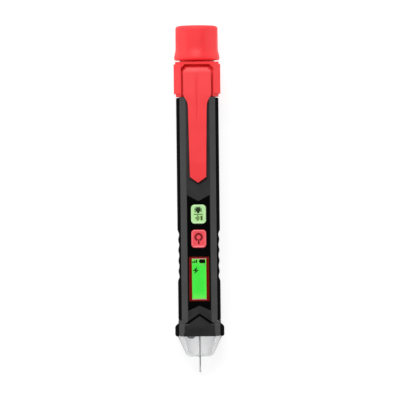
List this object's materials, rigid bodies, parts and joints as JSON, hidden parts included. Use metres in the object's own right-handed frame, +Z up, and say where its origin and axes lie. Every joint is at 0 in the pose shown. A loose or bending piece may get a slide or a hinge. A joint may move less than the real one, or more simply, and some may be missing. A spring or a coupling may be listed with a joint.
{
  "type": "non contact voltage tester",
  "caption": "Pen-shaped non contact voltage tester with a display, press buttons, clear lit nose, pocket clip and a screwed battery knob.",
  "frame": {"origin": "centre of the bounding box's bottom face, on the surface that the pen lies on", "axes": "+Y along the pen from the nib to the tail knob, +Z up out of the display, +X across the pen"},
  "size_m": [0.0222, 0.16, 0.0255],
  "materials": {
    "case_black": "satin, moulded",
    "grip_rubber": "matte",
    "fascia_gloss": "gloss",
    "bezel_red": "gloss",
    "window_clear": "clear",
    "lcd_green": "backlit",
    "light_guide": "milky",
    "connector_rubber": "matte",
    "button_green": "satin",
    "button_red": "satin",
    "switch_metal": "stamped",
    "plunger_black": "matte",
    "board_green": "solder mask",
    "chip_black": "matte",
    "buzzer_black": "matte",
    "led_clear": "clear epoxy",
    "led_red": "tinted epoxy",
    "wire_steel": "drawn",
    "nib_clear": "clear",
    "lens_clear": "clear",
    "seal_rubber": "matte",
    "seal_clear": "milky silicone",
    "tube_grey": "matte",
    "cell_jacket": "printed sleeve",
    "contact_brass": "plated",
    "cap_red": "semi gloss",
    "clip_red": "semi gloss",
    "spring_steel": "bright",
    "screw_steel": "zinc plated"
  },
  "bodies": {
    "casing": {"front_shell": "case_black", "rear_shell": "case_black", "left_grip": "grip_rubber", "right_grip": "grip_rubber", "fascia_panel": "fascia_gloss", "lcd_bezel": "bezel_red", "lcd_window": "window_clear", "lcd_glass": "lcd_green", "lcd_backlight": "light_guide", "lcd_connector": "connector_rubber", "mode_switch": "switch_metal", "power_switch": "switch_metal", "main_board": "board_green", "controller_chip": "chip_black", "board_parts": "chip_black", "buzzer": "buzzer_black", "led_board": "board_green", "torch_led": "led_clear", "signal_led": "led_red", "antenna_wire": "wire_steel", "sensor_nib": "nib_clear", "nose_lens": "lens_clear", "nose_seal": "seal_clear", "nose_collar": "case_black", "chevron_gasket": "grip_rubber", "left_collar_pad": "grip_rubber", "right_collar_pad": "grip_rubber", "battery_tube": "tube_grey", "front_cell": "cell_jacket", "rear_cell": "cell_jacket", "head_contact": "contact_brass", "ground_strip": "contact_brass", "tail_sleeve": "cap_red", "tail_oring": "seal_rubber", "clip_ring": "cap_red", "housing_screws": "screw_steel"},
    "mode_button": {"mode_button": "button_green", "mode_plunger": "plunger_black"},
    "power_button": {"power_button": "button_red", "power_plunger": "plunger_black"},
    "clip": {"pocket_clip": "clip_red"},
    "tail_contact": {"contact_disc": "contact_brass", "contact_spring": "spring_steel"},
    "knob": {"tail_knob": "cap_red"}
  },
  "joints": [
    {"name": "mode_button_press", "type": "slide", "parent": "casing", "child": "mode_button", "axis": [0, 0, -1], "range_m": [0, 0.0005], "stiffness_N_per_m": 1200, "springref_m": -0.0006},
    {"name": "power_button_press", "type": "slide", "parent": "casing", "child": "power_button", "axis": [0, 0, -1], "range_m": [0, 0.0005], "stiffness_N_per_m": 1200, "springref_m": -0.0006},
    {"name": "pocket_clip_flex", "type": "hinge", "parent": "casing", "child": "clip", "pos_m": [0, 0.0586, 0.0209], "axis": [-1, 0, 0], "range_deg": [0, 5], "stiffness_Nm_per_rad": 2.5, "springref_deg": -2.29},
    {"name": "tail_knob_travel", "type": "slide", "parent": "casing", "child": "tail_contact", "axis": [0, 1, 0], "range_m": [0, 0.006], "deforming": ["contact_spring"]},
    {"name": "tail_knob_twist", "type": "hinge", "parent": "tail_contact", "child": "knob", "pos_m": [0, 0.072, 0.0106], "axis": [0, 1, 0], "range_deg": [0, 1080]}
  ],
  "couplings": [
    {"joint": "tail_knob_travel", "follows": "tail_knob_twist", "m_per_rad": 0.0003183}
  ]
}
